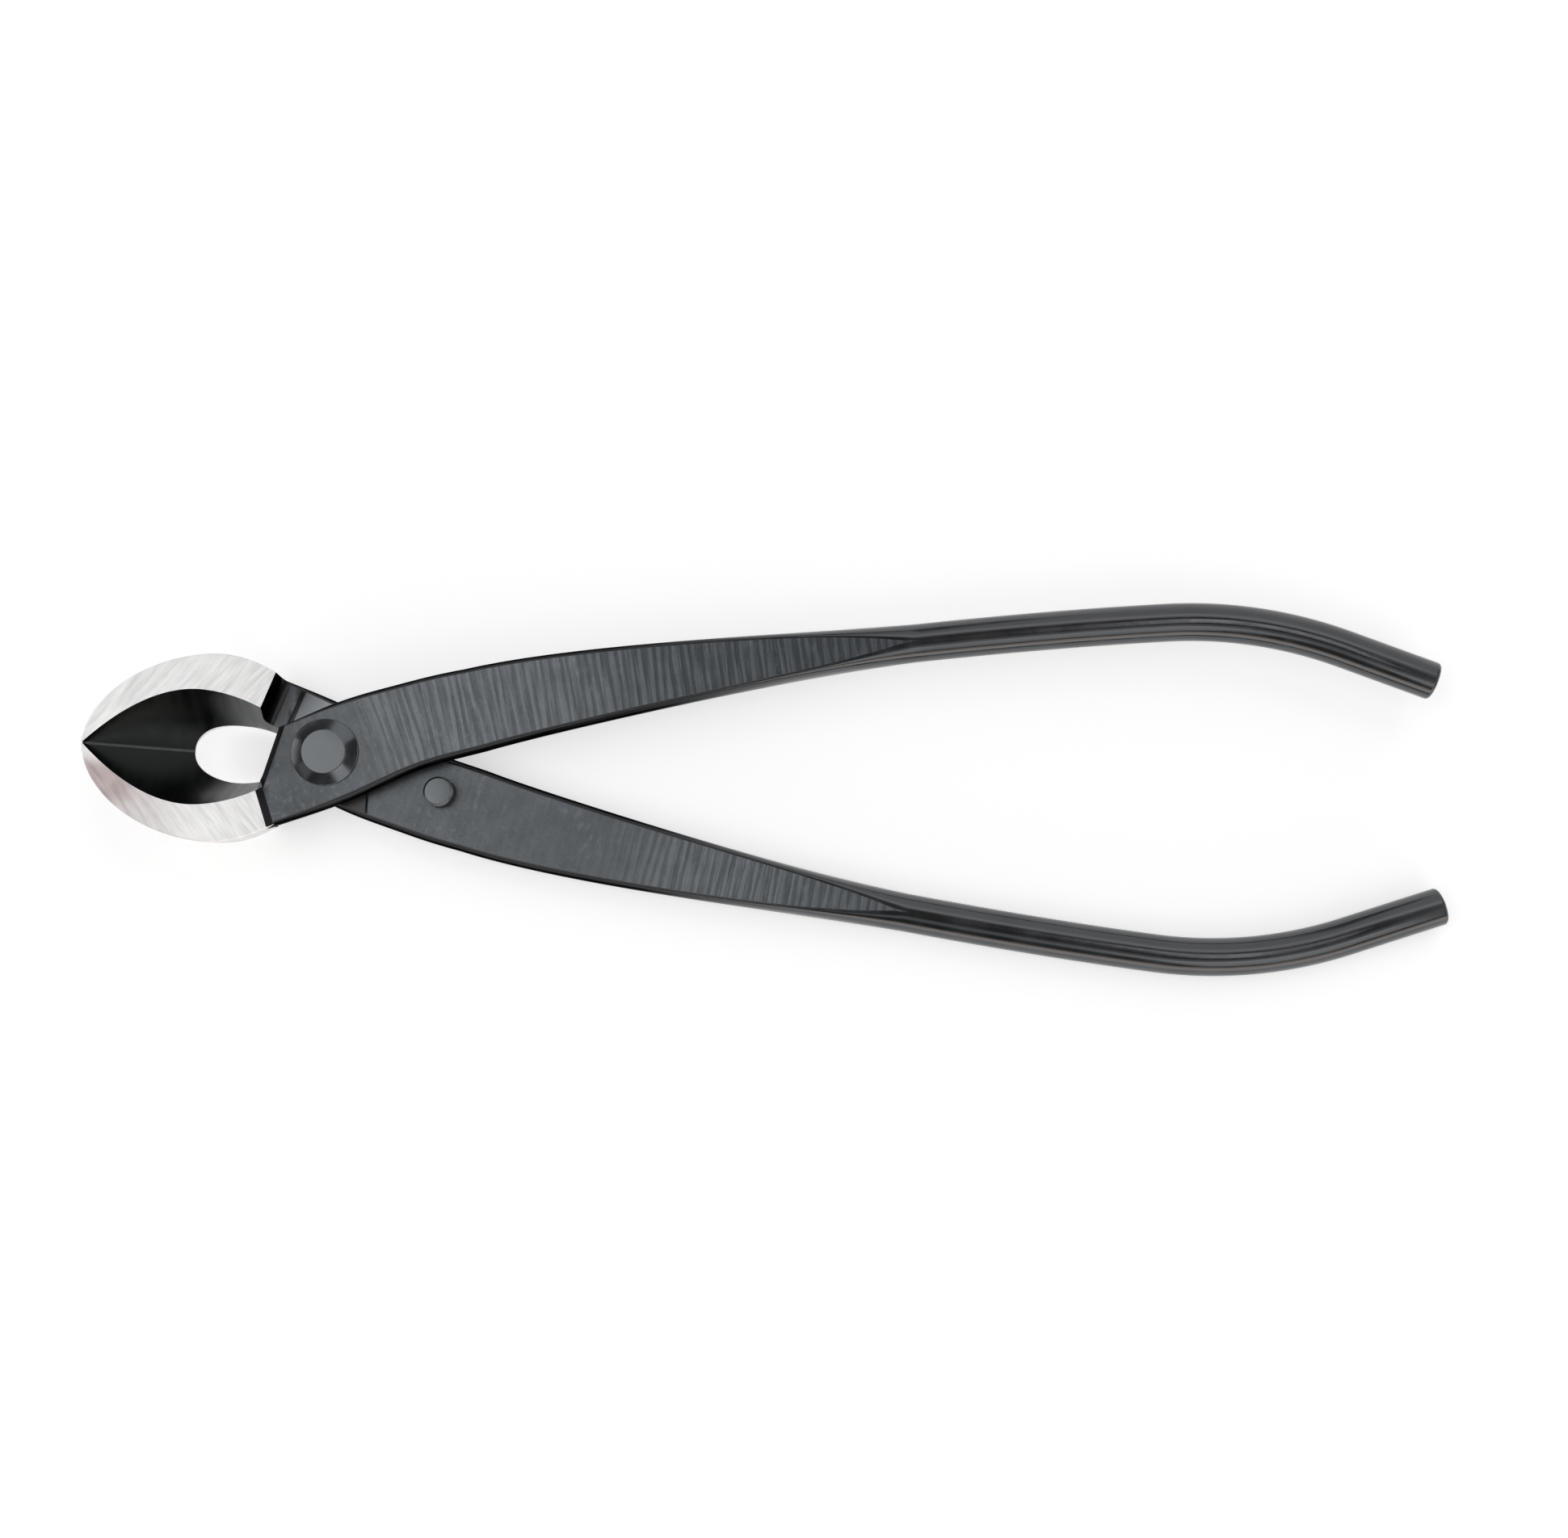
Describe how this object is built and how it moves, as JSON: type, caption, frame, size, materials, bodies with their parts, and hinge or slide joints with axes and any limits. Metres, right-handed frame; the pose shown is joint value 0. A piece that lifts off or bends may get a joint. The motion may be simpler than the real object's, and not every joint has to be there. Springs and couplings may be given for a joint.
{
  "type": "concave branch cutter",
  "caption": "Forged steel concave branch cutter: hollow-ground jaws meet on a falling seam, crossed levers turn on a rivet beside a stop pin and run out into bowed round handles.",
  "frame": {"origin": "on the pivot axis, at the flat face of the rivet's tail, level with the underside of the back handle", "axes": "+X from the jaws to the handle ends along the closed tool's middle line, +Z along the pivot axis towards the rivet's head and the open side of the jaws"},
  "size_m": [0.2064, 0.0562, 0.0111],
  "materials": {
    "forged_steel": "dark scale with ground flats and bright ground blade faces",
    "rivet_steel": "satin turned",
    "pin_steel": "satin turned"
  },
  "bodies": {
    "back": {"back_lever": "forged_steel", "pivot_rivet": "rivet_steel", "stop_pin": "pin_steel"},
    "front": {"front_lever": "forged_steel"}
  },
  "joints": [
    {"name": "pivot", "type": "hinge", "parent": "back", "child": "front", "pos_m": [0, 0, 0.0054], "axis": [0, 0, 1], "range_deg": [0, 40]}
  ]
}
